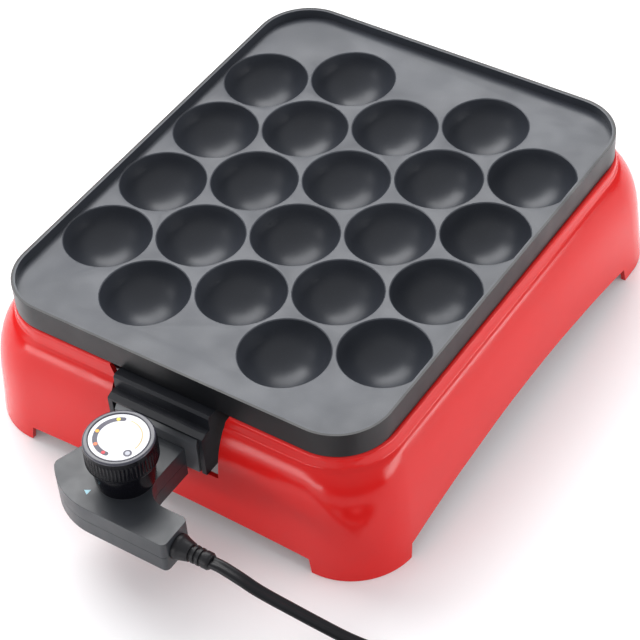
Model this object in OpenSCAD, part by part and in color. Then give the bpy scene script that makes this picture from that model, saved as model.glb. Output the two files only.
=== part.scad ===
// Electric takoyaki maker: a moulded base, a lift-off cast plate with cup-shaped
// moulds and its heater, and a plug-in thermostat control on a mains cord.
// +Z is up, -Y is the front, where the control plugs in. The base stands on z = 0,
// and the origin is under the middle of the base and control together.

/* [Base] */
// Width of the base across the feet
base_w = 227; // [222:1:235]
// Length of the base across the feet
base_l = 275; // [270:1:282]
// Radius of the base's corners at the feet
base_corner_r = 33; // [30:1:36]
// Height of the lip that the plate sits on
lip_z = 66.3; // [66:0.1:66.5]
// Thickness of the moulded wall
wall = 2.5; // [2:0.1:3]
// Height of the feet below the front and back walls
foot_z = 8; // [6:0.5:10]
// Rise of the arch under each long side, above the feet
side_arch = 9; // [6:0.5:12]
// Rise of the arch under the front and back
front_arch = 2; // [1:0.5:4]
// Width of the front notch
notch_w = 60; // [58:0.5:64]
// Height of the notch's lower edge
notch_z = 33.5; // [33:0.1:33.8]

/* [Plate] */
// Height of the plate's rim
plate_z = 80; // [79:0.5:82]
// Width of the plate
plate_w = 201; // [200:1:204]
// Length of the plate
plate_l = 251; // [250:1:254]
// Radius of the plate's corners
plate_corner_r = 27; // [24:1:30]
// Depth of the tray inside the rim
tray_depth = 4.5; // [4:0.5:6]
// Thickness of the rim
rim_t = 2; // [1.5:0.1:2.2]
// Height of the outer skirt, rim included
skirt_h = 13.3; // [13:0.1:13.5]
// Mouth diameter of a cup
cup_d = 42; // [40:0.5:42.5]
// Depth of a cup
cup_depth = 19; // [17:0.5:19.5]
// Distance between neighbouring cups
cup_pitch = 44.2; // [43.5:0.1:44.4]
// Thickness of the cast metal
cast_t = 2.2; // [2:0.1:2.5]

/* [Heater] */
// Diameter of the sheathed heater
heater_d = 6.6; // [6:0.1:6.6]
// Height of the terminals and the temperature probe
terminal_z = 41; // [41:0.5:41.5]
// Distance between the two terminal pins
pin_gap = 25; // [24:0.5:26]
// Diameter of a terminal pin
pin_d = 5; // [4.5:0.1:5]

/* [Terminal hood] */
// Width of the hood
hood_w = 52; // [51:0.5:53]
// Height of the hood's top
hood_z = 58.5; // [57:0.5:59]
// Reach of the hood in front of the plate's centre
hood_front = 137; // [136.5:0.5:137.5]

/* [Control] */
// Reach of the control in front of the plate's centre
case_front = 187.5; // [186:0.5:189]
// Height of the control's underside
case_low_z = 30; // [29.5:0.5:31]
// Height of the control's top
case_top_z = 47; // [46:0.5:48]
// Height of the joint between the two half cases
case_split_z = 38; // [37:0.5:39]
// Thickness of the case walls
case_wall = 2; // [1.6:0.1:2.4]

/* [Dial] */
// Place of the dial across
dial_x = 2.8; // [2:0.1:3.5]
// Reach of the dial's axis in front of the plate's centre
dial_front = 163.5; // [162:0.5:165]
// Height of the dial's face
dial_top_z = 72.6; // [71:0.1:74]
// Diameter of the dial's knurled skirt
dial_d = 33; // [32:0.5:34]
// Diameter of the collar under the dial
collar_d = 26.4; // [25:0.2:28]
// Number of ribs round the dial
dial_ribs = 60; // [40:2:72]

/* [Cord] */
// Width of the flat twin cord
cord_w = 6.2; // [5.8:0.1:6.4]
// Thickness of the flat twin cord
cord_t = 3.5; // [3.2:0.1:3.6]
// Length of the strain relief outside the case
relief_l = 18; // [17:0.5:22]

/* [Hidden] */
$fn = 48;
eps = 0.01;

// The plate's centre, so that the base and control share a middle
body_y = (case_front - base_l / 2) / 2;

red = "#d8322f";
cast_black = "#3c4048";
resin_black = "#1c1d20";
steel = "#b9bcc0";
brass = "#c9a34e";
ceramic = "#e6e1d4";
cord_black = "#17181a";

deck_z = plate_z - tray_depth;
deck_t = 3;
skirt_z = plate_z - skirt_h;

// Cup sphere from its mouth and depth
mouth_chamfer = 0.5;
cup_r = (pow(cup_d / 2, 2) + pow(cup_depth, 2)) / (2 * cup_depth);
cup_z = deck_z - cup_depth + cup_r;
column_gap = cup_pitch * sqrt(3) / 2;
column_cups = [4, 5, 4, 5, 4];
function column_x(i) = (i - 2) * column_gap;
function cup_y(n, k) = (k - (n - 1) / 2) * cup_pitch;

// Heater legs run between the columns, just under the cups
heater_r = heater_d / 2;
bend_r = heater_r - 0.05;
leg_x = column_gap / 2;
heater_gap = 0.2;
heater_drop = sqrt(pow(cup_r + cast_t + heater_r + heater_gap, 2) - pow(leg_x, 2));
heater_z = floor(10 * (cup_z - heater_drop)) / 10;
end_cup_y = 2 * cup_pitch;
front_turn_y = 1.5 * cup_pitch;
cross_y = end_cup_y + leg_x;
drop_r = 8;
exit_r = 5;
tube_end_y = cross_y + exit_r;
pin_x = pin_gap / 2;
pin_tip_y = hood_front - 6;

probe_d = 5;
sleeve_r = 4.5;
probe_tip_y = 67;

module at_body() {
    translate([0, body_y, 0]) children();
}

module both_sides() {
    children();
    mirror([1, 0, 0]) children();
}

module four_corners() {
    both_sides() {
        children();
        mirror([0, 1, 0]) children();
    }
}

// Rounded rectangle with true arcs
module rounded_rect(w, l, r) {
    square([w - 2 * r, l], center = true);
    square([w, l - 2 * r], center = true);
    for (x = [-1, 1], y = [-1, 1])
        translate([x * (w / 2 - r), y * (l / 2 - r)]) circle(r);
}

// Cylinder that lies along +Y, from y to y + h
module rod_y(r, h, x, y, z) {
    translate([x, y, z]) rotate([-90, 0, 0]) cylinder(r = r, h = h);
}

// Cylinder that lies along +X, from x to x + h
module rod_x(r, h, x, y, z) {
    translate([x, y, z]) rotate([0, 90, 0]) cylinder(r = r, h = h);
}

// Part of a ring in the XY plane, from angle a through da
module bend(ring_r, tube_r, a, da) {
    rotate([0, 0, a]) rotate_extrude(angle = da) translate([ring_r, 0]) circle(tube_r);
}

/* ---------- base ---------- */

// The wall's section: inset from the foot outline, height, corner radius less the foot's
wall_outside = [[0, 0, 0], [0.6, 12, 0], [1.4, 24, 0], [2.5, 36, 0], [3.6, 44, 0],
    [4.8, 49, -0.5], [6.4, 53, -1], [8.2, 56.2, -1.5], [9.6, 58.6, -2], [10.3, 60.6, -2.5]];
lip_outside = [[10.6, lip_z - 3.2, -2.8], [11, lip_z - 1, -3], [12, lip_z, -3.6]];
lip_inside = [[14.6, lip_z, -5], [15, lip_z - 1, -5]];
function inside(p, dz) = [p[0] + wall, max(p[1] - dz, 0), p[2] - wall];
wall_inside = [for (i = [len(wall_outside) - 1 : -1 : 0])
    inside(wall_outside[i], i > 5 ? wall * 0.8 : i > 3 ? wall * 0.4 : 0)];
wall_section = concat(wall_outside, lip_outside, lip_inside, wall_inside);

corner_steps = 9;

// One level of the wall: the outline's corners, each in equal steps
function wall_ring(s) =
    let (w = base_w - 2 * s[0], l = base_l - 2 * s[0], r = base_corner_r + s[2])
    [for (q = [0 : 3], i = [0 : corner_steps])
        let (a = 90 * (q + i / corner_steps),
            cx = (q == 0 || q == 3 ? 1 : -1) * (w / 2 - r),
            cy = (q < 2 ? 1 : -1) * (l / 2 - r))
        [cx + r * cos(a), cy + r * sin(a), s[1]]];

// The moulded wall, closed over its section
module moulded_wall() {
    n = 4 * (corner_steps + 1);
    m = len(wall_section);
    polyhedron(
        points = [for (s = wall_section) each wall_ring(s)],
        faces = [for (j = [0 : m - 1], i = [0 : n - 1], half = [0, 1])
            let (a = j * n + i, b = j * n + (i + 1) % n,
                c = ((j + 1) % m) * n + (i + 1) % n, d = ((j + 1) % m) * n + i)
            half == 0 ? [a, c, b] : [a, d, c]],
        convexity = 6);
}

foot_side = 34;
foot_front = 35.5;

// Cut under a wall between two feet: a straight step with a shallow arch above it
module arch_cut(span, rise, deep) {
    arch_r = (pow(span / 2, 2) + pow(rise, 2)) / (2 * rise);
    rotate([90, 0, 0]) linear_extrude(deep, center = true) {
        translate([-span / 2, -1]) square([span, foot_z + 1]);
        intersection() {
            translate([0, foot_z + rise - arch_r]) circle(arch_r, $fn = 96);
            translate([-span / 2, foot_z - eps]) square([span, rise + 1]);
        }
    }
}

notch_x = 1;
notch_flare = 2.5;

// Notch for the hood, flared at the lip
module front_notch() {
    translate([notch_x, -base_l / 2 + 10, 0]) rotate([90, 0, 0])
        linear_extrude(32, center = true) for (side = [0, 1]) mirror([side, 0])
            polygon([[-1, notch_z], [notch_w / 2, notch_z], [notch_w / 2, lip_z - 8],
                [notch_w / 2 + notch_flare * 0.3, lip_z - 4],
                [notch_w / 2 + notch_flare, lip_z - 0.5],
                [notch_w / 2 + notch_flare, lip_z + 5], [-1, lip_z + 5]]);
}

boss_x = 91;
boss_y = 88;
shield_z = 34;

// Boss for a heat shield screw, webbed to the side wall
module shield_boss() {
    translate([boss_x, boss_y, shield_z]) cylinder(r = 4, h = 20);
    translate([base_w / 2, boss_y + 1.2, 0]) rotate([90, 0, 0]) linear_extrude(2.4)
        polygon([[boss_x - base_w / 2, 39], [-4.2, 39], [-4.9, 44], [-6.6, 50],
            [boss_x - base_w / 2, 50]]);
}

// Stiffening rib under the lip of a long side, along the wall's middle
module lip_rib(y) {
    translate([base_w / 2, y + 0.9, 0]) rotate([90, 0, 0]) linear_extrude(1.8)
        polygon([[-14.5, 61.5], [-11.6, 61.5], [-9.4, 55.5], [-6.2, 48.5], [-8.2, 48.5], [-14.5, 57]]);
}

module base_shell() {
    color(red) at_body() difference() {
        union() {
            moulded_wall();
            four_corners() shield_boss();
            both_sides() for (y = [-60, -20, 20, 60]) lip_rib(y);
        }
        arch_cut(base_w - 2 * foot_side, front_arch, base_l + 20);
        rotate([0, 0, 90]) arch_cut(base_l - 2 * foot_front, side_arch, base_w + 20);
        front_notch();
        four_corners() translate([boss_x, boss_y, shield_z - 1]) cylinder(r = 1.5, h = 17);
    }
}

shield_t = 0.8;
shield_w = 197;
shield_l = 208;
pan_depth = 10;

// Pressed tray that keeps the heat off the table
module heat_shield() {
    color(steel) at_body() difference() {
        union() {
            translate([0, 0, shield_z - shield_t]) linear_extrude(shield_t)
                rounded_rect(shield_w, shield_l, 14);
            translate([0, 0, shield_z - pan_depth]) linear_extrude(pan_depth)
                rounded_rect(shield_w - 32, shield_l - 48, 10);
            both_sides() translate([50, 0, shield_z - pan_depth - 1.5])
                cylinder(r = 12, h = 3);
        }
        translate([0, 0, shield_z - pan_depth + shield_t]) linear_extrude(pan_depth)
            rounded_rect(shield_w - 32 - 2 * shield_t, shield_l - 48 - 2 * shield_t,
                10 - shield_t);
        both_sides() translate([50, 0, shield_z - pan_depth - 1.5 + shield_t])
            cylinder(r = 12 - shield_t, h = 3);
        four_corners() translate([boss_x, boss_y, shield_z - 2]) cylinder(r = 1.7, h = 4);
    }
}

// Pan-head screw, head down, its shank from z upwards
module screw_up(shank_r, shank_l, head_r, head_h) {
    cylinder(r = shank_r, h = shank_l);
    translate([0, 0, -head_h]) cylinder(r1 = head_r * 0.8, r2 = head_r, h = head_h);
}

module shield_screws() {
    color(steel) at_body() four_corners()
        translate([boss_x, boss_y, shield_z - shield_t]) screw_up(1.4, 12, 3, 1.8);
}

/* ---------- plate ---------- */

module each_cup() {
    for (i = [0 : len(column_cups) - 1], k = [0 : column_cups[i] - 1])
        translate([column_x(i), cup_y(column_cups[i], k), cup_z]) children();
}

clip_reach = 10.6;
clip_places = [[3 * leg_x, cup_pitch], [leg_x, cup_pitch / 2]];
clip_z = heater_z - heater_r;
clip_t = 1.2;

module each_clip() {
    four_corners() for (p = clip_places) translate([p[0], p[1], 0]) children();
}

hood_lug_x = 17;
hood_lug_y = 118.5;
hood_riser_z = 69.8;

// Cast posts on the underside: heater clips, hood lugs and the probe saddle
module cast_posts() {
    each_clip() translate([clip_reach, 0, clip_z]) cylinder(r = 3.2, h = deck_z - 1 - clip_z);
    both_sides() translate([hood_lug_x, -hood_lug_y, hood_riser_z])
        cylinder(r = 4.5, h = deck_z - 1 - hood_riser_z);
    translate([-5.5, -front_turn_y - 11, terminal_z]) cube([11, 20, cup_z - cup_r - terminal_z]);
}

module takoyaki_plate() {
    color(cast_black) at_body() difference() {
        union() {
            translate([0, 0, skirt_z]) linear_extrude(skirt_h)
                rounded_rect(plate_w, plate_l, plate_corner_r);
            intersection() {
                each_cup() sphere(cup_r + cast_t);
                translate([0, 0, deck_z - 30]) linear_extrude(30)
                    square([plate_w - 1, plate_l - 1], center = true);
            }
            cast_posts();
        }
        difference() {
            translate([0, 0, skirt_z - 1]) linear_extrude(skirt_h - tray_depth - deck_t + 1)
                rounded_rect(plate_w - 2 * cast_t, plate_l - 2 * cast_t, plate_corner_r - cast_t);
            each_cup() sphere(cup_r + cast_t);
            cast_posts();
        }
        translate([0, 0, deck_z]) linear_extrude(tray_depth + 1)
            rounded_rect(plate_w - 2 * rim_t, plate_l - 2 * rim_t, plate_corner_r - rim_t);
        each_cup() sphere(cup_r);
        each_cup() translate([0, 0, deck_z - cup_z - mouth_chamfer])
            cylinder(r1 = cup_d / 2 - 0.2, r2 = cup_d / 2 + mouth_chamfer, h = mouth_chamfer + eps);
        each_clip() translate([clip_reach, 0, clip_z - 1]) cylinder(r = 1.5, h = 9);
        both_sides() translate([hood_lug_x, -hood_lug_y, hood_riser_z - 1])
            cylinder(r = 1.5, h = 5);
        rod_y(sleeve_r, 30, 0, -front_turn_y - 15, terminal_z);
    }
}

// Half of the heater: the legs right of the middle and the end that drops to the pin
module heater_half() {
    for (x = [leg_x, 3 * leg_x])
        rod_y(heater_r, end_cup_y + (x > 2 * leg_x ? end_cup_y : front_turn_y), x,
            x > 2 * leg_x ? -end_cup_y : -front_turn_y, heater_z);
    translate([2 * leg_x, end_cup_y, heater_z]) bend(leg_x, bend_r, 0, 180);
    translate([2 * leg_x, -end_cup_y, heater_z]) bend(leg_x, bend_r, -90, 90);
    rod_x(heater_r, 2 * leg_x - pin_x - drop_r, pin_x + drop_r, -cross_y, heater_z);
    translate([pin_x + drop_r, -cross_y, heater_z - drop_r]) rotate([90, 0, 0])
        bend(drop_r, bend_r, 90, 90);
    translate([pin_x, -cross_y, terminal_z + exit_r])
        cylinder(r = heater_r, h = heater_z - drop_r - terminal_z - exit_r);
    translate([pin_x, -cross_y - exit_r, terminal_z + exit_r]) rotate([0, 90, 0])
        bend(exit_r, bend_r, 0, 90);
}

module heater_tube() {
    color(steel) at_body() {
        both_sides() heater_half();
        translate([0, -front_turn_y, heater_z]) bend(leg_x, bend_r, 180, 180);
    }
}

// Strap that holds a leg up, with a turned-up tip
module heater_clips() {
    color(steel) at_body() each_clip() difference() {
        union() {
            translate([-6, -5, clip_z - clip_t]) cube([clip_reach + 6 + 4, 10, clip_t]);
            translate([-6, -5, clip_z - eps]) cube([clip_t, 10, 2]);
        }
        translate([clip_reach, 0, clip_z - 2]) cylinder(r = 1.7, h = 4);
    }
}

module clip_screws() {
    color(steel) at_body() each_clip()
        translate([clip_reach, 0, clip_z - clip_t]) screw_up(1.4, 8, 3, 1.8);
}

// Plated pins on the ends of the heater
module terminal_pins() {
    color(steel) at_body() both_sides() {
        rod_y(pin_d / 2, pin_tip_y - tube_end_y - 1, pin_x, -pin_tip_y + 1, terminal_z);
        translate([pin_x, -pin_tip_y + 1, terminal_z]) rotate([90, 0, 0])
            cylinder(r1 = pin_d / 2, r2 = pin_d / 2 - 0.9, h = 1);
    }
}

hood_back = 114;
hood_wall = 2.6;
bushing_r = 5;

module pin_bushings() {
    color(ceramic) at_body() both_sides() difference() {
        union() {
            rod_y(bushing_r, 6, pin_x, -hood_back - 5, terminal_z);
            rod_y(bushing_r + 1.2, 1.2, pin_x, -hood_back - 5, terminal_z);
        }
        rod_y(pin_d / 2 + 0.05, 8, pin_x, -hood_back - 6, terminal_z);
    }
}

module sensor_sleeve() {
    color(steel) at_body() difference() {
        union() {
            rod_y(sleeve_r - 0.05, 58, 0, -hood_back - 4, terminal_z);
            rod_y(sleeve_r + 1.2, 1, 0, -hood_back - 4.8, terminal_z);
        }
        rod_y(probe_d / 2 + 0.7, 56, 0, -hood_back - 5.5, terminal_z);
    }
}

hood_edge = 1.2;
riser_front = 131;
riser_low_z = skirt_z - 0.5;
screw_seat_z = 64;

// Hood over the terminals, open to the front and below, with a riser that closes the notch
module terminal_hood() {
    deep = hood_front - hood_back;
    low_z = notch_z + 0.9;
    color(resin_black) at_body() difference() {
        translate([-hood_w / 2, 0, 0]) rotate([90, 0, 90]) linear_extrude(hood_w)
            polygon([[-hood_front, low_z], [-hood_back, low_z], [-hood_back, hood_riser_z],
                [-hood_back - 8.6, hood_riser_z], [-hood_back - 8.6, riser_low_z],
                [-riser_front + 1.2, riser_low_z], [-riser_front, riser_low_z - 1.2],
                [-riser_front, hood_z], [-hood_front + hood_edge, hood_z],
                [-hood_front, hood_z - hood_edge]]);
        translate([-hood_w / 2 + hood_wall, -hood_front - 1, low_z - 1])
            cube([hood_w - 2 * hood_wall, deep - 2.8, hood_z - 2.4 - low_z + 1]);
        both_sides() rod_y(bushing_r + 0.05, 12, pin_x, -hood_back - 8, terminal_z);
        rod_y(sleeve_r, 12, 0, -hood_back - 8, terminal_z);
        both_sides() translate([hood_lug_x, -hood_lug_y, hood_z - 5]) {
            cylinder(r = 1.7, h = hood_riser_z - hood_z + 6);
            cylinder(r = 3, h = screw_seat_z - hood_z + 5);
        }
    }
}

module hood_screws() {
    color(steel) at_body() both_sides()
        translate([hood_lug_x, -hood_lug_y, screw_seat_z]) screw_up(1.4, 9.4, 2.6, 1.5);
}

/* ---------- control ---------- */

neck_x = 15.5;
neck_y = hood_front + 0.4;
arm_x = 40.5;
arm_w = 18;
arm_y = case_front - arm_w / 2;
fillet_r = 12;
sweep_r = 34;
end_r = 2.5;

function arc(cx, cy, r, a0, a1, n) =
    [for (i = [0 : n]) let (a = a0 + (a1 - a0) * i / n) [cx + r * cos(a), cy + r * sin(a)]];

// Plan of the control, drawn in by inset: a neck that widens to the dial, and an arm
// to the cord side
module case_plan(inset = 0) {
    polygon(concat(
        [[-neck_x - 2 + inset, -neck_y - inset], [neck_x - inset, -neck_y - inset]],
        arc(neck_x + fillet_r, -case_front + arm_w + fillet_r, fillet_r + inset, 180, 270, 8),
        arc(arm_x - end_r, -case_front + arm_w - end_r, end_r - inset, 90, 0, 4),
        arc(arm_x - end_r, -case_front + end_r, end_r - inset, 0, -90, 4),
        arc(-2, -case_front + sweep_r, sweep_r - inset, 270, 217, 12),
        arc(-26.6, -172, 3 - inset, 210, 165, 4)));
}

collar_flare = 1.3;
case_screw_places = [[-21, -171], [34, -183], [11.6, -149.3]];

module case_screw_posts(z0, z1) {
    for (p = case_screw_places) translate([p[0], p[1], z0]) cylinder(r = 3, h = z1 - z0);
}

module case_upper() {
    color(resin_black) at_body() difference() {
        union() {
            difference() {
                translate([0, 0, case_split_z + 0.2])
                    linear_extrude(case_top_z - case_split_z - 0.2) case_plan();
                translate([0, 0, case_split_z - 1])
                    linear_extrude(case_top_z - case_split_z + 1 - case_wall)
                        case_plan(case_wall);
            }
            translate([dial_x, -dial_front, case_top_z - case_wall])
                cylinder(r1 = collar_d / 2, r2 = collar_d / 2 + collar_flare,
                    h = dial_top_z - 12.6 - case_top_z + case_wall);
            intersection() {
                case_screw_posts(case_split_z + 0.2, case_top_z - 1);
                translate([0, 0, 30]) linear_extrude(20) case_plan(0.5);
            }
        }
        translate([dial_x, -dial_front, case_top_z - case_wall - 1])
            cylinder(r = 3.06, h = 30);
        translate([dial_x, -dial_front, case_top_z - case_wall - 1])
            cylinder(d = collar_d - 5, h = 10);
        for (p = case_screw_places)
            translate([p[0], p[1], case_split_z - 1]) cylinder(r = 1.3, h = 8);
        nose_opening();
        relief_opening();
    }
}

module case_lower() {
    color(resin_black) at_body() difference() {
        union() {
            difference() {
                translate([0, 0, case_low_z])
                    linear_extrude(case_split_z - case_low_z) case_plan();
                translate([0, 0, case_low_z + case_wall])
                    linear_extrude(case_split_z) case_plan(case_wall);
            }
            intersection() {
                case_screw_posts(case_low_z, case_split_z);
                translate([0, 0, 20]) linear_extrude(30) case_plan(0.5);
            }
        }
        for (p = case_screw_places) translate([p[0], p[1], case_low_z - 1]) {
            cylinder(r = 1.6, h = 12);
            cylinder(r = 2.7, h = 3.2);
        }
        nose_opening();
        relief_opening();
    }
}

// Opening of the case for the socket block
module nose_opening() {
    translate([-13, -neck_y - 8, 34]) cube([26, 10, 11]);
}

// Opening of the case for the strain relief
module relief_opening() {
    rod_x(4.2, 10, arm_x - 6, -arm_y, 38.5);
}

guard_w = 44.6;
guard_low_z = notch_z + 1.2;
guard_z = hood_z - 2.8;
block_w = 42;
block_back = hood_back + 7.2;
block_z = 51;
contact_r = 4;

// Moulded block with the sockets, and the finger guard in front of the hood
module socket_block() {
    color(resin_black) at_body() difference() {
        union() {
            translate([-guard_w / 2, 0, 0]) rotate([90, 0, 90]) linear_extrude(guard_w)
                polygon([[-neck_y, guard_low_z], [-neck_y + 3.6, guard_low_z],
                    [-neck_y + 3.6, guard_z], [-neck_y + 2.6, guard_z], [-neck_y, guard_z - 3.4]]);
            translate([-block_w / 2, -neck_y + 3, guard_low_z + 0.6])
                cube([block_w, neck_y - 3 - block_back, block_z - guard_low_z - 0.6]);
            translate([-12.6, -neck_y - 7, 34.4]) cube([25.2, 8, 10.2]);
        }
        both_sides() rod_y(contact_r + 0.05, 30, pin_x, -neck_y + 1, terminal_z);
        rod_y(probe_d / 2 + 0.02, 40, 0, -neck_y - 9, terminal_z);
    }
}

module socket_contacts() {
    color(brass) at_body() both_sides() difference() {
        rod_y(contact_r, neck_y - 1.1 - block_back, pin_x, -neck_y + 1.1, terminal_z);
        rod_y(pin_d / 2 + 0.35, 30, pin_x, -neck_y + 2.3, terminal_z);
    }
}

module sensor_rod() {
    color(steel) at_body() {
        rod_y(probe_d / 2, neck_y + 12 - probe_tip_y, 0, -neck_y - 12, terminal_z);
        translate([0, -probe_tip_y, terminal_z]) sphere(probe_d / 2);
    }
}

frame_w = 14.4;

module thermostat_frame() {
    color(steel) at_body() {
        translate([dial_x - 9, -dial_front - 9, case_low_z + case_wall])
            cube([frame_w, 22, 1.2]);
        translate([dial_x - 9, -dial_front - 9, case_low_z + case_wall + 1.1])
            cube([frame_w, 1.2, 5]);
    }
}

module switch_blades() {
    color(brass) at_body() for (x = [-5, 1.6])
        translate([dial_x + x, -dial_front - 7.8, case_low_z + case_wall + 3.6])
            cube([3, 19, 0.5]);
}

module case_screws() {
    color(steel) at_body() for (p = case_screw_places)
        translate([p[0], p[1], case_low_z + 2.2]) screw_up(1.2, 10, 2.5, 1.5);
}

// Bar that clamps the cord inside the arm
module cord_grip() {
    color(ceramic) at_body() difference() {
        translate([21, -arm_y - 6, case_low_z + case_wall]) cube([6, 12, 9.3]);
        rod_x(2.2, 10, 20, -arm_y, 38.5);
    }
}

relief_rings = 3;

// Moulded strain relief: a stem inside the wall, a flange, a taper and its rings
module strain_relief() {
    root_r = 5.4;
    tip_r = 4;
    taper = relief_l - 1;
    color(resin_black) at_body() translate([0, -arm_y, 38.5]) rotate([0, 90, 0])
        rotate_extrude() difference() {
            polygon([[0, arm_x - 5], [4.1, arm_x - 5], [4.1, arm_x + 0.1], [root_r + 0.6, arm_x + 0.1],
                [root_r + 0.6, arm_x + 2], [root_r, arm_x + 3.4], [tip_r + 0.2, arm_x + 8],
                [tip_r, arm_x + taper], [tip_r - 0.6, arm_x + relief_l], [0, arm_x + relief_l]]);
            for (i = [0 : relief_rings - 1])
                translate([3.3, arm_x + 7.6 + i * 2.7]) square([4, 1.2]);
        }
}

/* ---------- cord ---------- */

relief_end = arm_x + relief_l;
lay_z = cord_t / 2 + 0.1;

// Route of the free cord from the strain relief down to the table and on to the coil
free_route = [[relief_end, -178.5, 38.5], [64, -178.5, 38.5], [73, -178.5, 36.7], [80, -177.5, 33],
    [87, -175.5, 28.6], [94, -173, 23.8], [101, -170.4, 18.8], [108, -167.7, 13.8],
    [115, -165, 9], [122, -162.2, 5], [130, -159.6, 2.5], [138, -158, lay_z],
    [146, -157.2, lay_z], [154, -157, lay_z], [162, -157, lay_z], [174, -157, lay_z]];
free_end = free_route[len(free_route) - 1];

coil_out_r = 50;
coil_pitch = 6.9;
coil_turns = 7.5;
coil_steps = 24;
layer_rise = 4.15;
coil_tail = 20;
coil_c = [free_end[0], free_end[1] - coil_out_r];
coil_in_r = coil_out_r - coil_pitch * coil_turns / 2;

// The coil winds in and out again, and climbs in the half turn where it reverses
function smooth(u) = u <= 0 ? 0 : u >= 1 ? 1 : u * u * (3 - 2 * u);
function round_v(s) = s > 0.25 ? s : 2 * s * s + 0.125;
function coil_point(t) =
    let (s = t - coil_turns / 2, r = coil_in_r + coil_pitch * round_v(abs(s)))
    [coil_c[0] + r * sin(360 * t), coil_c[1] + r * cos(360 * t),
        lay_z + layer_rise * smooth(2 * s + 0.5)];
coil_wound = [for (i = [1 : coil_turns * coil_steps - 1]) coil_point(i / coil_steps)];
coil_end = coil_point(coil_turns);
coil_route = concat([free_end, free_end + [cord_w, 0, 0]],
    [for (p = coil_wound) if (p[2] > lay_z || p[0] > free_end[0] + cord_w + 3
        || norm([p[0], p[1]] - coil_c) < coil_out_r - 0.5) p],
    [coil_end, coil_end - [cord_w, 0, 0], coil_end - [coil_tail, 0, 0]]);
plug_start = coil_end - [coil_tail, 0, 0];

// Least gap of the coil to itself, on the rings' centres a third of a turn or more apart:
// the widest of the gaps seen from the side, from above and square to a slanted face
slant = [cord_t / 2, 0.2 * cord_w] / norm([cord_t / 2, 0.2 * cord_w]);
function flat_gap(a, b) =
    let (dx = norm([a[0] - b[0], a[1] - b[1]]), dz = abs(a[2] - b[2]))
    max(dx - cord_w, dz - cord_t, slant[0] * (dx - cord_w) + slant[1] * dz);
coil_gap = min([for (i = [0 : len(coil_route) - 1], j = [i + 8 : 1 : len(coil_route) - 1])
    flat_gap(coil_route[i], coil_route[j])]);
echo(coil_gap = coil_gap);

function norm3(v) = v / norm(v);
function route_dir(p, i) = norm3(p[min(i + 1, len(p) - 1)] - p[max(i - 1, 0)]);

// The flat cord's section, in shares of its width and thickness
round_section = [[0.5, 0.2], [0.32, 0.5], [-0.32, 0.5], [-0.5, 0.2],
    [-0.5, -0.2], [-0.32, -0.5], [0.32, -0.5], [0.5, -0.2]];
plain_section = [[0.5, 0], [0.3, 0.5], [-0.3, 0.5], [-0.5, 0], [-0.3, -0.5], [0.3, -0.5]];

// Flat tube with square ends along a route, its wide side level
module cord_tube(p, section) {
    n = len(p);
    m = len(section);
    polyhedron(
        points = [for (i = [0 : n - 1])
            let (d = route_dir(p, i), s = norm3(cross([0, 0, 1], d)), u = cross(d, s))
            for (q = section) p[i] + s * q[0] * cord_w + u * q[1] * cord_t],
        faces = concat(
            [[for (k = [m - 1 : -1 : 0]) k]],
            [[for (k = [0 : m - 1]) (n - 1) * m + k]],
            [for (i = [0 : n - 2], k = [0 : m - 1], half = [0, 1])
                let (a = i * m + k, b = i * m + (k + 1) % m)
                half == 0 ? [a, b, b + m] : [a, b + m, a + m]]),
        convexity = 10);
}

module cord_free() {
    color(cord_black) at_body() cord_tube(free_route, round_section);
}

module cord_coil() {
    color(cord_black) at_body() cord_tube(coil_route, plain_section);
}

plug_l = 26;
plug_w = 20;
plug_t = 12;
plug_relief_l = 20;
blade_gap = 12.7;

// Moulded plug that lies on its wide side, with its tapered strain relief
module plug_body() {
    color(resin_black) at_body() translate([plug_start[0], plug_start[1], plug_start[2]])
        rotate([0, 0, 180]) {
            rotate([0, 90, 0]) rotate_extrude() difference() {
                polygon([[0, 0], [3.6, 0], [3.9, 0.6], [4.8, plug_relief_l + 1],
                    [0, plug_relief_l + 1]]);
                for (i = [0 : 3]) translate([3.3, 5 + i * 3.4]) square([3, 1.3]);
            }
            difference() {
                translate([plug_relief_l + plug_l / 2, 0, -plug_start[2]])
                    linear_extrude(plug_t) rounded_rect(plug_l, plug_w, 4);
                both_plug_sides() translate([plug_relief_l + 11, plug_w / 2 + 10.6, -10])
                    cylinder(r = 12, h = 30);
                both_plug_sides() translate([plug_relief_l + plug_l - 6, blade_gap / 2 - 0.8, -3.25])
                    cube([7, 1.6, 6.5]);
            }
        }
}

module both_plug_sides() {
    children();
    mirror([0, 1, 0]) children();
}

module plug_blades() {
    color(brass) at_body() translate([plug_start[0], plug_start[1], plug_start[2]])
        rotate([0, 0, 180]) both_plug_sides()
            translate([plug_relief_l + plug_l - 5, blade_gap / 2 - 0.75, -3.2]) difference() {
                cube([22.4, 1.5, 6.4]);
                translate([18, -1, 3.2]) rotate([-90, 0, 0]) cylinder(r = 1.5, h = 4);
            }
}

/* ---------- dial ---------- */

knob_low_z = dial_top_z - 12.2;
knurl_depth = 0.45;

// Ring of fine ribs
module knurl_plan(r) {
    polygon([for (i = [0 : 2 * dial_ribs - 1])
        let (a = 180 * i / dial_ribs, q = i % 2 == 0 ? r : r - knurl_depth)
        [q * cos(a), q * sin(a)]]);
}

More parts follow.
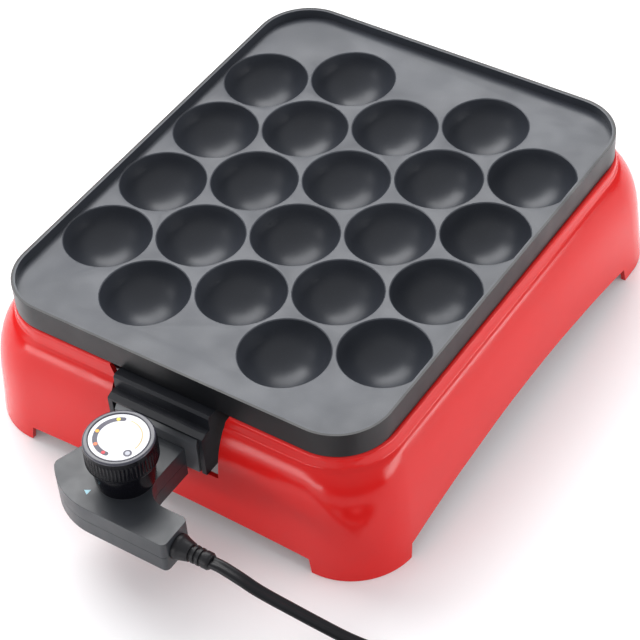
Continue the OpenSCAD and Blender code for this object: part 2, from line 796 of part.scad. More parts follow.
module dial_knob() {
    color(resin_black) at_body() translate([dial_x, -dial_front, 0]) difference() {
        union() {
            translate([0, 0, knob_low_z]) cylinder(r = dial_d / 2 - 0.6, h = 1.4);
            translate([0, 0, knob_low_z + 1.4]) linear_extrude(8) knurl_plan(dial_d / 2);
            translate([0, 0, knob_low_z + 9.4]) cylinder(r = dial_d / 2 - 0.6, h = 1.8);
            translate([0, 0, knob_low_z + 11.2])
                cylinder(r1 = dial_d / 2 - 0.6, r2 = dial_d / 2 - 1.4, h = 1);
        }
        translate([0, 0, dial_top_z - 0.9]) cylinder(r = 14.15, h = 2);
        translate([0, 0, knob_low_z - 1]) cylinder(r = 3, h = 8);
        difference() {
            translate([0, 0, knob_low_z - 1]) cylinder(r = dial_d / 2 - 3, h = 8);
            translate([0, 0, knob_low_z - 2]) cylinder(r = 5.5, h = 10);
        }
    }
}

module dial_disc() {
    color("white") at_body() translate([dial_x, -dial_front, dial_top_z - 0.9])
        cylinder(r = 14.1, h = 0.8);
}

// Shaft turned by the knob, down to the switch
module dial_shaft() {
    color(steel) at_body() translate([dial_x, -dial_front, case_low_z + 8]) {
        cylinder(r = 3, h = knob_low_z + 7 - case_low_z - 8 - 0.05);
        cylinder(r = 4.6, h = 2.5);
    }
}

base_shell();
heat_shield();
shield_screws();
takoyaki_plate();
heater_tube();
heater_clips();
clip_screws();
terminal_pins();
pin_bushings();
sensor_sleeve();
terminal_hood();
hood_screws();
case_upper();
case_lower();
socket_block();
socket_contacts();
sensor_rod();
thermostat_frame();
switch_blades();
case_screws();
cord_grip();
strain_relief();
cord_free();
cord_coil();
plug_body();
plug_blades();
dial_knob();
dial_disc();
dial_shaft();
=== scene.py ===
"""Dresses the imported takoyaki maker: shell, plate, control, dial, cord and studio.

Lengths are in metres. +Z is up, -Y is the front, where the control plugs in, and BODY_Y is the
middle of the base and plate."""

import math

import bmesh
import bpy
from bpy.props import FloatProperty, FloatVectorProperty, IntProperty, PointerProperty
from mathutils import Matrix, Vector


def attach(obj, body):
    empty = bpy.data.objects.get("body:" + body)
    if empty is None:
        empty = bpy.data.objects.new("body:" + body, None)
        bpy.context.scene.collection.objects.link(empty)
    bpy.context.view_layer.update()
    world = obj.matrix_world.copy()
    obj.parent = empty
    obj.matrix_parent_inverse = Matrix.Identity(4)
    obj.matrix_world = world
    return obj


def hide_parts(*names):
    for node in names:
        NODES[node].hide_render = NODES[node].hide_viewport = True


bl_info = {
    "name": "Takoyaki Maker",
    "version": (1, 0, 0),
    "blender": (4, 5, 0),
    "location": "View3D > Sidebar > Takoyaki",
    "description": "Dresses a packed takoyaki maker and sets up its studio",
    "category": "Object",
}

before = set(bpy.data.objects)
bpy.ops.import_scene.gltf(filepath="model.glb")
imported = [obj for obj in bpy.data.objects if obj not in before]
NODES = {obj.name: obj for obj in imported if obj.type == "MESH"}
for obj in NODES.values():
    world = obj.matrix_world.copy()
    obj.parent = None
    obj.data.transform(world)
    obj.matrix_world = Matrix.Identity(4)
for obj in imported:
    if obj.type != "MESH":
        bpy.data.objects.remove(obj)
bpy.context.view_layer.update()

MM = 0.001
BODY_Y = 25 * MM

# Widths, lengths and corner radii, then places and heights, as the CAD has them
BASE_W, BASE_L, BASE_R = 227 * MM, 275 * MM, 33 * MM
PLATE_W, PLATE_L, PLATE_R = 201 * MM, 251 * MM, 27 * MM
DIAL_X, DIAL_Y = 2.8 * MM, BODY_Y - 163.5 * MM
DIAL_TOP = 72.6 * MM
CASE_TOP, CASE_LOW = 47 * MM, 30 * MM
HOOD_TOP = 58.5 * MM
CORD_W, CORD_T = 6.2 * MM, 3.5 * MM
# The plate's black outer skirt starts this far inside its outline
SKIRT_IN = 1.2 * MM


def colour(name, text, value):
    """A colour that the user can change."""
    return FloatVectorProperty(
        name=name, description=text, default=value, size=4, min=0, max=1, subtype="COLOR"
    )


def length(name, text, value):
    """A length in metres that the user can change."""
    return FloatProperty(
        name=name, description=text, default=value, min=0, unit="LENGTH", precision=5
    )


class ShellSettings(bpy.types.PropertyGroup):
    red: colour("Red", "Colour of the moulded base", (0.64, 0.010, 0.009, 1))
    wall: length("Wall", "Thickness of the moulded wall", 2.3 * MM)
    edge: length("Edge", "Rounding of the wall's cut edges", 0.35 * MM)


class PlateSettings(bpy.types.PropertyGroup):
    coat: colour("Coating", "Colour of the non-stick coating", (0.036, 0.040, 0.050, 1))
    steel: colour("Steel", "Colour of the bare steel parts", (0.60, 0.61, 0.63, 1))


class ControlSettings(bpy.types.PropertyGroup):
    case: colour("Case", "Colour of the control's case", (0.028, 0.031, 0.037, 1))
    edge: length("Edge", "Rounding of the case's edges", 1.8 * MM)
    pointer: colour("Pointer", "Colour of the pointer on the case", (0.35, 0.62, 0.72, 1))


class DialSettings(bpy.types.PropertyGroup):
    knob: colour("Knob", "Colour of the knob", (0.004, 0.004, 0.006, 1))
    face: colour("Face", "Colour of the printed face", (0.62, 0.62, 0.65, 1))
    ribs: IntProperty(name="Ribs", description="Ribs round the knob", default=60, min=12, max=90)


class CordSettings(bpy.types.PropertyGroup):
    jacket: colour("Jacket", "Colour of the cord's jacket", (0.010, 0.010, 0.012, 1))
    width: length("Width", "Width of the flat twin cord", CORD_W)
    thickness: length("Thickness", "Thickness of the flat twin cord", CORD_T)


class StudioSettings(bpy.types.PropertyGroup):
    floor: colour("Floor", "Colour of the floor", (0.92, 0.92, 0.93, 1))
    lens: FloatProperty(name="Lens", description="Focal length in millimetres", default=120.6, min=20)
    key: FloatProperty(name="Key", description="Power of the key light in watts", default=21, min=0)
    glow: FloatProperty(name="Glow", description="Light that the floor gives off", default=0.08, min=0)
    sky: FloatProperty(name="Sky", description="Brightness of the sky overhead", default=0.7, min=0)
    wall: FloatProperty(name="Walls", description="Brightness near the horizon", default=0.10, min=0)


# ---------- materials ----------

# The materials made here, by name: the frame has its own of the same names
FINISHES = {}


def new_material(name, base, roughness, metallic=0.0, coat=0.0, specular=0.5):
    """A material with its fixed numbers set on the shader."""
    material = bpy.data.materials.new(name)
    material.use_nodes = True
    shader = material.node_tree.nodes["Principled BSDF"]
    shader.inputs["Base Color"].default_value = base
    shader.inputs["Roughness"].default_value = roughness
    shader.inputs["Metallic"].default_value = metallic
    shader.inputs["Coat Weight"].default_value = coat
    shader.inputs["Coat Roughness"].default_value = 0.06
    shader.inputs["Specular IOR Level"].default_value = specular
    material.diffuse_color = base
    FINISHES[name] = material
    return material


def feed(material, socket, value):
    """Sets a socket's number or colour, or links the socket that it comes from."""
    if isinstance(value, bpy.types.NodeSocket):
        material.node_tree.links.new(value, socket)
    else:
        socket.default_value = value


def add(material, kind, **inputs):
    """A node whose inputs are numbers, or the sockets they come from."""
    node = material.node_tree.nodes.new(kind)
    for name, value in inputs.items():
        feed(material, node.inputs[name.replace("_", " ")], value)
    return node


def object_place(material):
    """Object coordinates."""
    return add(material, "ShaderNodeTexCoord").outputs["Object"]


def object_noise(material, scale, detail=3.0, stretch=(1, 1, 1)):
    """Noise on object coordinates, stretched along an axis."""
    mapped = add(material, "ShaderNodeMapping", Vector=object_place(material), Scale=stretch)
    noise = add(material, "ShaderNodeTexNoise", Scale=scale, Detail=detail, Vector=mapped.outputs[0])
    return noise.outputs["Fac"]


def spread(material, factor, low, high, start=0.3, end=0.7):
    """The factor's range from start to end, which is most of a noise's, spread from low to high."""
    return add(material, "ShaderNodeMapRange", Value=factor, From_Min=start, From_Max=end,
               To_Min=low, To_Max=high).outputs[0]


def blend(material, factor, first, second):
    """Two colours, mixed by a factor."""
    mix = material.node_tree.nodes.new("ShaderNodeMix")
    mix.data_type = "RGBA"
    # Inputs 6 and 7 and output 2 are the node's colours
    for socket, value in (("Factor", factor), (6, first), (7, second)):
        feed(material, mix.inputs[socket], value)
    return mix.outputs[2]


def drive(material, socket, source):
    """Links a source to the shader's socket."""
    shader = material.node_tree.nodes["Principled BSDF"]
    material.node_tree.links.new(source, shader.inputs[socket])


def bump(material, height, strength, distance):
    """Bump from a height."""
    node = add(material, "ShaderNodeBump", Height=height, Strength=strength, Distance=distance)
    drive(material, "Normal", node.outputs[0])


def shade(value, factor):
    """A colour made lighter or darker."""
    return tuple(min(1.0, c * factor) for c in value[:3]) + (1,)


def moulded(name, base, roughness, grain=900.0, depth=0.02, mottle=0.10, coat=0.0, specular=0.5):
    """Moulded plastic or rubber: a fine grain, uneven gloss and a faint mottle."""
    material = new_material(name, base, roughness, coat=coat, specular=specular)
    cloud = spread(material, object_noise(material, 40, 4), 0, 1)
    drive(material, "Base Color",
          blend(material, cloud, shade(base, 1 - mottle), shade(base, 1 + mottle)))
    gloss = object_noise(material, 140, 3)
    drive(material, "Roughness", spread(material, gloss, roughness * 0.85, roughness * 1.2))
    bump(material, object_noise(material, grain, 2), depth, 0.0002)
    return material


def bare_metal(name, base, roughness, stretch, scale=500.0):
    """Drawn or pressed metal: fine lines along its length and dull patches."""
    material = new_material(name, base, roughness, metallic=1.0)
    lines = object_noise(material, scale, 4, stretch)
    patches = spread(material, object_noise(material, 60, 3), 0, 1)
    drive(material, "Base Color", blend(material, patches, shade(base, 0.85), shade(base, 1.08)))
    drive(material, "Roughness", spread(material, lines, roughness * 0.7, roughness * 1.35))
    bump(material, lines, 0.08, 0.0001)
    return material


def calc(material, operation, *values):
    """A math node on numbers or sockets."""
    node = material.node_tree.nodes.new("ShaderNodeMath")
    node.operation = operation
    for socket, value in zip(node.inputs, values):
        feed(material, socket, value)
    return node.outputs[0]


def past_outline(material, half_w, half_l, radius):
    """1 outside a rounded rectangle about the plate's middle, and 0 inside."""
    axes = add(material, "ShaderNodeSeparateXYZ", Vector=object_place(material))
    over = []
    for axis, middle, half in (("X", 0, half_w), ("Y", BODY_Y, half_l)):
        far = calc(material, "ABSOLUTE", calc(material, "SUBTRACT", axes.outputs[axis], middle))
        over.append(calc(material, "MAXIMUM", calc(material, "SUBTRACT", far, half - radius), 0))
    squares = calc(material, "ADD", *[calc(material, "POWER", part, 2) for part in over])
    return calc(material, "GREATER_THAN", calc(material, "SQRT", squares), radius)


def coated(name, base):
    """Non-stick coating on cast metal: pebbled, with pale flecks and worn gloss, black outside."""
    material = new_material(name, base, 0.36, metallic=0.1, specular=0.45)
    cells = add(material, "ShaderNodeTexVoronoi", Scale=900.0, Vector=object_place(material))
    flecks = spread(material, cells.outputs["Distance"], 1, 0, 0.05, 0.18)
    cloud = spread(material, object_noise(material, 25, 4), 0, 1)
    tone = blend(material, cloud, shade(base, 0.9), shade(base, 1.12))
    deck = blend(material, flecks, tone, shade(base, 1.6))
    skirt = past_outline(material, PLATE_W / 2 - SKIRT_IN, PLATE_L / 2 - SKIRT_IN, PLATE_R - SKIRT_IN)
    drive(material, "Base Color", blend(material, skirt, deck, shade(base, 0.12)))
    drive(material, "Roughness", spread(material, object_noise(material, 60, 5), 0.30, 0.42))
    bump(material, object_noise(material, 1600, 3), 0.06, 0.0002)
    return material


# ---------- shapes ----------


def piece(name, bm, body, material, stands_for=(), smooth_angle=32):
    """The finished object: recalculated normals, smooth shading with sharp creases, body and slot."""
    bmesh.ops.remove_doubles(bm, verts=bm.verts, dist=1e-6)
    bmesh.ops.recalc_face_normals(bm, faces=bm.faces)
    return as_object(name, bm, body, material, stands_for, smooth_angle)


def as_object(name, bm, body, material, stands_for=(), smooth_angle=32):
    """An object whose normals already point outwards."""
    limit = math.radians(smooth_angle)
    for face in bm.faces:
        face.smooth = True
    for edge in bm.edges:
        edge.smooth = len(edge.link_faces) != 2 or edge.calc_face_angle(0) < limit
    mesh = bpy.data.meshes.new(name)
    bm.to_mesh(mesh)
    bm.free()
    mesh.materials.append(material)
    thing = bpy.data.objects.new(name, mesh)
    bpy.context.scene.collection.objects.link(thing)
    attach(thing, body)
    if stands_for:
        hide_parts(*stands_for)
    return thing


def ring_of(bm, points):
    """A closed loop of edges through the points."""
    verts = [bm.verts.new(p) for p in points]
    return [bm.edges.new((a, b)) for a, b in zip(verts, verts[1:] + verts[:1])]


def loft(bm, rings):
    """Extrudes the first ring through the others and returns the first and last loops."""
    first = edges = ring_of(bm, rings[0])
    verts = [edge.verts[0] for edge in edges]
    for ring in rings[1:]:
        made = bmesh.ops.extrude_edge_only(bm, edges=edges)["geom"]
        new = {item for item in made if isinstance(item, bmesh.types.BMVert)}
        verts = [next(edge.other_vert(vert) for edge in vert.link_edges if edge.other_vert(vert) in new)
                 for vert in verts]
        for vert, place in zip(verts, ring):
            vert.co = place
        edges = [item for item in made if isinstance(item, bmesh.types.BMEdge)
                 and item.verts[0] in new and item.verts[1] in new]
    return first, edges


def solid_loft(bm, rings):
    """A loft with both of its ends filled."""
    for loop in loft(bm, rings):
        bmesh.ops.contextual_create(bm, geom=loop)


def ring_loft(bm, rings):
    """A loft whose last ring is joined to its first, for a ring or a tube's wall."""
    first, last = loft(bm, rings)
    bmesh.ops.bridge_loops(bm, edges=first + last)


def circle_points(x, y, z, radius, count):
    """Points round a level circle."""
    turn = 2 * math.pi / count
    return [(x + radius * math.cos(i * turn), y + radius * math.sin(i * turn), z)
            for i in range(count)]


def smooth_line(points, steps):
    """A curve through the points, a Catmull-Rom spline with the given steps a span."""
    ends = [2 * points[0] - points[1]] + list(points) + [2 * points[-1] - points[-2]]
    line = []
    for i in range(len(points) - 1):
        a, b, c, d = ends[i:i + 4]
        for k in range(steps):
            t = k / steps
            line.append(0.5 * (2 * b + (c - a) * t + (2 * a - 5 * b + 4 * c - d) * t * t
                               + (3 * b - a - 3 * c + d) * t ** 3))
    return line + [points[-1]]


def merged_copy(node):
    """A bmesh of a frame node with its loose triangles joined and its flat faces whole."""
    bm = bmesh.new()
    bm.from_mesh(NODES[node].data)
    bmesh.ops.remove_doubles(bm, verts=bm.verts, dist=2e-6)
    bmesh.ops.dissolve_limit(bm, angle_limit=math.radians(1), verts=bm.verts, edges=bm.edges)
    return bm


def round_edges(thing, width, segments=3, angle=30):
    """Rounds the edges sharper than the angle."""
    modifier = thing.modifiers.new("rounding", "BEVEL")
    modifier.width = width
    modifier.segments = segments
    modifier.limit_method = "ANGLE"
    modifier.angle_limit = math.radians(angle)
    modifier.harden_normals = True
    return thing


def make_dressed(name, node, body, material, width, segments=3):
    """A frame node with its edges rounded."""
    bm = merged_copy(node)
    return round_edges(as_object(name, bm, body, material, [node], 40), width, segments)


def dress(finishes):
    """Gives frame nodes their materials."""
    for node, material in finishes.items():
        slots = NODES[node].material_slots
        if not slots:
            raise RuntimeError(node + " has no material slot")
        for slot in slots:
            slot.material = material


# ---------- base shell ----------

# The wall from its foot to its shoulder, in millimetres: it leans in by LEAN for each millimetre of
# height, and turns in by TURN_IN more at the shoulder
LEAN, TURN_IN, TURN_POWER = 0.052, 5.28, 6
FOOT_EDGE_Z, SHOULDER_Z = 0.3, 56.2
# Insets and heights over the shoulder, in millimetres: groove, bead and lip
LIP_LINE = [(9.3, 57.9), (10.2, 58.9), (10.7, 59.5), (10.9, 60.3), (10.95, 61.4), (10.95, 62.8),
            (11, 64), (11.15, 65), (11.55, 65.8), (12.3, 66.25), (13.2, 66.3), (14.6, 66.3)]
LIP_Z = 66.3 * MM
# The corners tighten from this inset on, softly at first
TIGHTEN_FROM, TIGHTEN_SOFT, TIGHTEN = 3 * MM, 1.5 * MM, 0.38
CORNER_STEPS = 24
# The front notch, and the flare of its sides, which starts FLARE_DROP under the lip
NOTCH_X, NOTCH_HALF, NOTCH_LOW, NOTCH_REACH = 1 * MM, 30 * MM, 33.5 * MM, 20 * MM
NOTCH_FLARE, FLARE_DROP, FLARE_RISE = 2.5 * MM, 8 * MM, 7.5 * MM
# The feet: their height, the half lengths between them, and the width of the step at their edges
FOOT_Z, STEP = 8 * MM, 0.9 * MM
FOOT_X, FOOT_Y = BASE_W / 2 - 34 * MM, BASE_L / 2 - 35.5 * MM
# How far the cuts between the feet rise above the step, and how far the side ones lie to the front
SIDE_ARCH, FRONT_ARCH, ARCH_SHIFT = 9 * MM, 2 * MM, 5.7 * MM
# Parts of the half length between two feet where the wall has its columns
ARCH_PLACES = [math.sin(math.radians(a)) for a in (38, 50, 60, 69, 77)]
# This half length in the middle of each side isn't drawn in with the corners
STILL = 36 * MM
# Screw bosses inside the wall, with the outlines of their webs and of the ribs under the lip, as x and
# z in millimetres
BOSS_X, BOSS_Y, BOSS_LOW, BOSS_TOP = 91 * MM, 88 * MM, 34 * MM, 54 * MM
BOSS_R, BOSS_HOLE, HOLE_DEEP = 4 * MM, 1.5 * MM, 4 * MM
WEB_T, RIB_T, RIB_YS = 2.4 * MM, 1.8 * MM, (-60, -20, 20, 60)
WEB = [(91, 39), (109.1, 39), (108.4, 44), (106.7, 50), (91, 50)]
LIP_RIB = [(99, 61.5), (101.7, 61.5), (103.9, 55.5), (106.9, 48.5), (105.3, 48.5), (99, 57)]


def arch(place, half, rise):
    """Height of the cut between two feet."""
    if abs(place) > half - 0.01 * MM:
        return 0.0
    radius = (half ** 2 + rise ** 2) / (2 * rise)
    return FOOT_Z + rise - radius + math.sqrt(radius ** 2 - place ** 2)


def stations(low, high, extra):
    """Places along one side: both edges of each foot's step, and steps between."""
    below = [-low, STEP - low] + [-low * part for part in reversed(ARCH_PLACES)]
    above = [high * part for part in ARCH_PLACES] + [high - STEP, high]
    return below + sorted(extra) + above


def wall_insets():
    """The wall's line, as smooth pairs of inset and height: a lean that turns in at the shoulder."""
    heights = (FOOT_EDGE_Z, 8, 16, 25, 33.5, 37, 40, 43, 45.5, 48, 50, 52, 54, SHOULDER_Z)
    lean = [(LEAN * z + TURN_IN * (z / SHOULDER_Z) ** TURN_POWER, z) for z in heights]
    return smooth_line([Vector((inset * MM, z * MM)) for inset, z in lean + LIP_LINE], 2)


def inset_at(line, z):
    """Inset of the wall at a height."""
    for low, high in zip(line, line[1:]):
        if low.y <= z <= high.y and high.y > low.y:
            return low.x + (high.x - low.x) * (z - low.y) / (high.y - low.y)
    return line[-1].x


def wall_radius(inset):
    """Corner radius at an inset: the corners tighten over the shoulder."""
    over = max(0.0, inset - TIGHTEN_FROM)
    return BASE_R - TIGHTEN * over ** 2 / (over + TIGHTEN_SOFT)


def drawn_in(place, half, end):
    """A place along a side, drawn in as the corner does, but still near the middle."""
    beyond = abs(place) - STILL
    if beyond <= 0:
        return place
    return math.copysign(STILL + beyond * (end - STILL) / (half - STILL), place)


def notch_side(sign, z):
    """The notch's edge at a height, flared under the lip."""
    rise = min(1.0, max(0.0, z - LIP_Z + FLARE_DROP) / FLARE_RISE)
    return NOTCH_X + sign * (NOTCH_HALF + NOTCH_FLARE * rise ** 2)


def wall_ring(inset, height, line):
    """One level of the wall. Below the notch's edge it rises over the feet's arches."""
    ring = []
    for quarter in range(4):
        long_side = quarter % 2 == 0
        foot, rise = (FOOT_Y, SIDE_ARCH) if long_side else (FOOT_X, FRONT_ARCH)
        shift = (-ARCH_SHIFT, 0, ARCH_SHIFT, 0)[quarter]
        edges = [NOTCH_X - NOTCH_HALF, NOTCH_X + NOTCH_HALF]
        places = stations(foot - shift, foot + shift, [0, -15 * MM, 15 * MM] + edges)
        turn = Matrix.Rotation(math.radians(90 * quarter), 2)
        half_w, half_l = (BASE_W / 2, BASE_L / 2) if long_side else (BASE_L / 2, BASE_W / 2)
        for place in places:
            low = arch(place - shift, foot, rise)
            z = height
            if height < NOTCH_LOW:
                z = low + height * (NOTCH_LOW - low) / NOTCH_LOW
            step_in = inset if height >= NOTCH_LOW else inset_at(line, z)
            straight = half_l - step_in - wall_radius(step_in)
            reach = foot + math.copysign(shift, place)
            side = drawn_in(place, reach, straight * reach / (half_l - BASE_R))
            if quarter == 3 and place in edges:
                side = notch_side(1 if place > 0 else -1, z)
            past = max(0.0, abs(side) - straight)
            step_in += past ** 2 / (2 * wall_radius(step_in))
            x, y = turn @ Vector((half_w - step_in, side))
            ring.append((x, BODY_Y + y, z))
        radius = wall_radius(inset)
        centre = Vector((half_w - inset - radius, half_l - inset - radius))
        # The shifted side arches take up the first or last degrees of the two front corners
        first = 9 if quarter == 2 else 0
        last = 81 if quarter == 3 else 90
        for k in range(CORNER_STEPS + 1):
            angle = math.radians(first + (last - first) * k / CORNER_STEPS)
            x, y = turn @ (centre + radius * Vector((math.cos(angle), math.sin(angle))))
            ring.append((x, BODY_Y + y, height))
    return ring


def in_notch(face):
    """Whether a face of the wall lies in the front notch."""
    middle = face.calc_center_median()
    at_front = middle.y < BODY_Y - BASE_L / 2 + NOTCH_REACH
    return at_front and middle.z > NOTCH_LOW and abs(middle.x - NOTCH_X) < NOTCH_HALF


def make_shell(settings):
    """The red moulded base: lofted wall with bead and groove, arched feet and front notch."""
    red = moulded("shell_red", settings.red, 0.19, grain=260, depth=0.006, mottle=0.02, specular=0.32)
    line = wall_insets()
    bm = bmesh.new()
    loft(bm, [wall_ring(point.x, point.y, line) for point in line])
    bmesh.ops.recalc_face_normals(bm, faces=bm.faces)
    bmesh.ops.delete(bm, geom=[f for f in bm.faces if in_notch(f)], context="FACES")
    outermost = max(bm.faces, key=lambda f: f.calc_center_median().x)
    if outermost.normal.x < 0:
        bmesh.ops.reverse_faces(bm, faces=bm.faces)
    shell = as_object("shell", bm, "base", red, ["base_shell"], 60)
    thick = shell.modifiers.new("wall", "SOLIDIFY")
    thick.thickness = settings.wall
    thick.offset = -1
    round_edges(shell, settings.edge, 2, 50)
    make_bosses(red)


def rib(bm, outline, y, thick):
    """An upright plate across X, from an outline of x and z in millimetres."""
    solid_loft(bm, [[(x * MM, y + shift, z * MM) for x, z in outline]
                    for shift in (-thick / 2, thick / 2)])


def make_bosses(red):
    """Screw bosses with their webs, and stiffening ribs, inside the wall."""
    bm = bmesh.new()
    floor_z = BOSS_TOP - HOLE_DEEP
    line = [(BOSS_R, BOSS_LOW), (BOSS_R, BOSS_TOP), (0.1 * MM, BOSS_TOP), (0.1 * MM, floor_z),
            (BOSS_HOLE, floor_z), (BOSS_HOLE, BOSS_LOW)]
    for y in (BODY_Y - BOSS_Y, BODY_Y + BOSS_Y):
        ring_loft(bm, [circle_points(BOSS_X, y, z, radius, 32) for radius, z in line])
        rib(bm, WEB, y, WEB_T)
    for y in RIB_YS:
        rib(bm, LIP_RIB, BODY_Y + y * MM, RIB_T)
    other = bmesh.ops.duplicate(bm, geom=bm.verts[:] + bm.edges[:] + bm.faces[:])["geom"]
    bmesh.ops.scale(bm, vec=(-1, 1, 1), verts=[v for v in other if isinstance(v, bmesh.types.BMVert)])
    piece("bosses", bm, "base", red, (), 40)


# ---------- hood, control, dial and cord ----------

# The top of the hood's front slopes back by this much more than in the CAD
HOOD_SLOPE = 1.6 * MM
# How much of the full rounding the case's edges take: on the outer face, upright, and at the joint
OUTER_SHARE, UPRIGHT_SHARE, JOINT_SHARE = 1.0, 0.45, 0.08
# The knob's height, the face's radius, the marks' distance from its middle, and the print's thickness
KNOB_H, FACE_R, MARK_REACH, PRINT_T = 12.2 * MM, 13.4 * MM, 10.4 * MM, 0.04 * MM
STEPS_A_RIB = 6
# Angles in degrees of the ends of the dial's band, of its off mark, and of the pointer on the case
BAND_ENDS, OFF_ANGLE, POINTER_ANGLE = (114.5, 275), -32, 239
POINTER_REACH = 17.9 * MM


def make_hood(black):
    """The terminal hood, with its front top edge sloped further back."""
    bm = merged_copy("terminal_hood")
    front = min(vert.co.y for vert in bm.verts)
    for vert in bm.verts:
        if vert.co.y < front + HOOD_SLOPE and vert.co.z > HOOD_TOP - 0.2 * MM:
            vert.co.y += HOOD_SLOPE
    hood = as_object("hood", bm, "plate_assembly", black, ["terminal_hood"], 40)
    round_edges(hood, 0.5 * MM)


def make_case(name, node, material, level, width):
    """Half of the control's case: soft outer edges, and a crisp one at the joint."""
    bm = merged_copy(node)
    weight = bm.edges.layers.float.new("bevel_weight_edge")
    for edge in bm.edges:
        if len(edge.link_faces) != 2 or edge.calc_face_angle(0) < math.radians(30):
            continue
        heights = [vert.co.z for vert in edge.verts]
        upright = abs(heights[0] - heights[1]) > 0.5 * MM
        on_level = all(abs(z - level) < 0.1 * MM for z in heights)
        edge[weight] = OUTER_SHARE if on_level else UPRIGHT_SHARE if upright else JOINT_SHARE
    thing = as_object(name, bm, "control", material, [node], 40)
    round_edges(thing, width, 4).modifiers["rounding"].limit_method = "WEIGHT"


def twin_section(width, thickness):
    """Outline of the flat twin cord: two round ridges with a shallow groove between."""
    radius = thickness / 2
    reach = width / 2 - radius
    right = [(reach + radius * math.cos(a), radius * math.sin(a))
             for a in (math.radians(d) for d in range(-115, 116, 23))]
    left = [(-x, -y) for x, y in right]
    waist = 0.84 * radius
    return right + [(0, waist)] + left + [(0, -waist)]


def sweep(bm, points, section):
    """A tube along the points whose wide side stays level."""
    rings = []
    for i, point in enumerate(points):
        ahead = (points[min(i + 1, len(points) - 1)] - points[max(i - 1, 0)]).normalized()
        side = Vector((0, 0, 1)).cross(ahead).normalized()
        up = ahead.cross(side)
        rings.append([point + side * a + up * b for a, b in section])
    solid_loft(bm, rings)


# The free cord's route in millimetres from the plate's middle, from the strain relief to the coil
FREE_ROUTE = [(58.5, -178.5, 38.5), (64, -178.5, 38.5), (73, -178.5, 36.7), (80, -177.5, 33),
              (87, -175.5, 28.6), (94, -173, 23.8), (101, -170.4, 18.8), (108, -167.7, 13.8),
              (115, -165, 9), (122, -162.2, 5), (130, -159.6, 2.5), (138, -158, 1.85),
              (146, -157.2, 1.85), (154, -157, 1.85), (162, -157, 1.85), (174, -157, 1.85)]
# The coil's radius and pitch, its turns, how far it climbs, and the straight length to the plug
COIL_OUT, COIL_PITCH, COIL_TURNS, COIL_RISE, COIL_TAIL = 50, 6.9, 7.5, 4.15, 20
COIL_STEPS = 36
# The coil reverses over this many turns on either side of its middle
REVERSE = 0.25


def coil_point(turns):
    """The coil winds in and out again, and climbs in the half turn where it reverses."""
    x, y, z = FREE_ROUTE[-1]
    s = turns - COIL_TURNS / 2
    near = abs(s) if abs(s) > REVERSE else s * s / (2 * REVERSE) + REVERSE / 2
    radius = COIL_OUT + COIL_PITCH * (near - COIL_TURNS / 2)
    climb = min(1, max(0, s / (2 * REVERSE) + 0.5))
    angle = 2 * math.pi * turns
    return (x + radius * math.sin(angle), y - COIL_OUT + radius * math.cos(angle),
            z + COIL_RISE * climb * climb * (3 - 2 * climb))


def cord_route():
    """The whole cord's line in metres, from the strain relief through the coil to the plug."""
    free = smooth_line([Vector(p) for p in FREE_ROUTE], 4)
    steps = int(COIL_TURNS * COIL_STEPS)
    coil = [Vector(coil_point(i / COIL_STEPS)) for i in range(1, steps + 1)]
    tail = [coil[-1] - Vector((d, 0, 0)) for d in (7, 14, COIL_TAIL)]
    shift = Vector((0, BODY_Y, 0))
    return [p * MM + shift for p in free + coil + tail]


def make_cord(settings):
    """The flat twin cord and its coil."""
    jacket = moulded("cord_jacket", settings.jacket, 0.34, grain=1200, depth=0.03, mottle=0.15,
                     specular=0.2)
    route = cord_route()
    bm = bmesh.new()
    sweep(bm, route, twin_section(settings.width, settings.thickness))
    cord = piece("cord", bm, "control", jacket, ["cord_free", "cord_coil"], 50)


def knurled_ring(radius, z, ribs, depth):
    """A ring whose radius waves in and out once a rib."""
    count = ribs * STEPS_A_RIB
    points = []
    for i in range(count):
        wave = 0.5 - 0.5 * math.cos(2 * math.pi * i / STEPS_A_RIB)
        reach = radius - depth * wave ** 0.6
        angle = 2 * math.pi * i / count
        points.append((DIAL_X + reach * math.cos(angle), DIAL_Y + reach * math.sin(angle), z))
    return points


def make_knob(settings):
    """The knob: a ribbed skirt under a smooth, rounded top ring round the face."""
    black = FINISHES["knob_black"]
    low = DIAL_TOP - KNOB_H
    # Radius, height and depth of the ribs, in millimetres
    line = [(15.8, 0.0, 0), (16.3, 0.2, 0), (16.45, 0.6, 0), (16.45, 1.1, 0), (16.2, 1.4, 0),
            (16.4, 1.7, 0.3), (16.4, 8.7, 0.3), (16.3, 9.1, 0.15), (16.1, 9.5, 0), (16.05, 11.3, 0),
            (15.8, 11.4, 0)]
    bm = bmesh.new()
    solid_loft(bm, [knurled_ring(r * MM, low + z * MM, settings.ribs, d * MM) for r, z, d in line])
    piece("knob", bm, "dial", black, ["dial_knob"], 35)
    satin = moulded("ring_satin", shade(settings.knob, 8), 0.3, grain=700, depth=0.01, coat=0.4)
    line = [(13.45, 11.3), (16, 11.3), (16, 11.55), (15.85, 11.85), (15.5, 12.1), (15.1, 12.2),
            (14.3, 12.2), (13.8, 12.1), (13.5, 11.85)]
    bm = bmesh.new()
    ring_loft(bm, [circle_points(DIAL_X, DIAL_Y, low + z * MM, r * MM, 96) for r, z in line])
    piece("knob_ring", bm, "dial", satin, (), 40)


def arc_band(bm, inner, outer, start, end, z, thick):
    """A flat band round the dial's middle, from one angle to another in degrees."""
    steps = max(2, int(abs(end - start) / 4))
    section = [(inner, z), (outer, z), (outer, z + thick), (inner, z + thick)]
    rings = []
    for i in range(steps + 1):
        a = math.radians(start + (end - start) * i / steps)
        rings.append([(DIAL_X + r * math.cos(a), DIAL_Y + r * math.sin(a), h) for r, h in section])
    solid_loft(bm, rings)


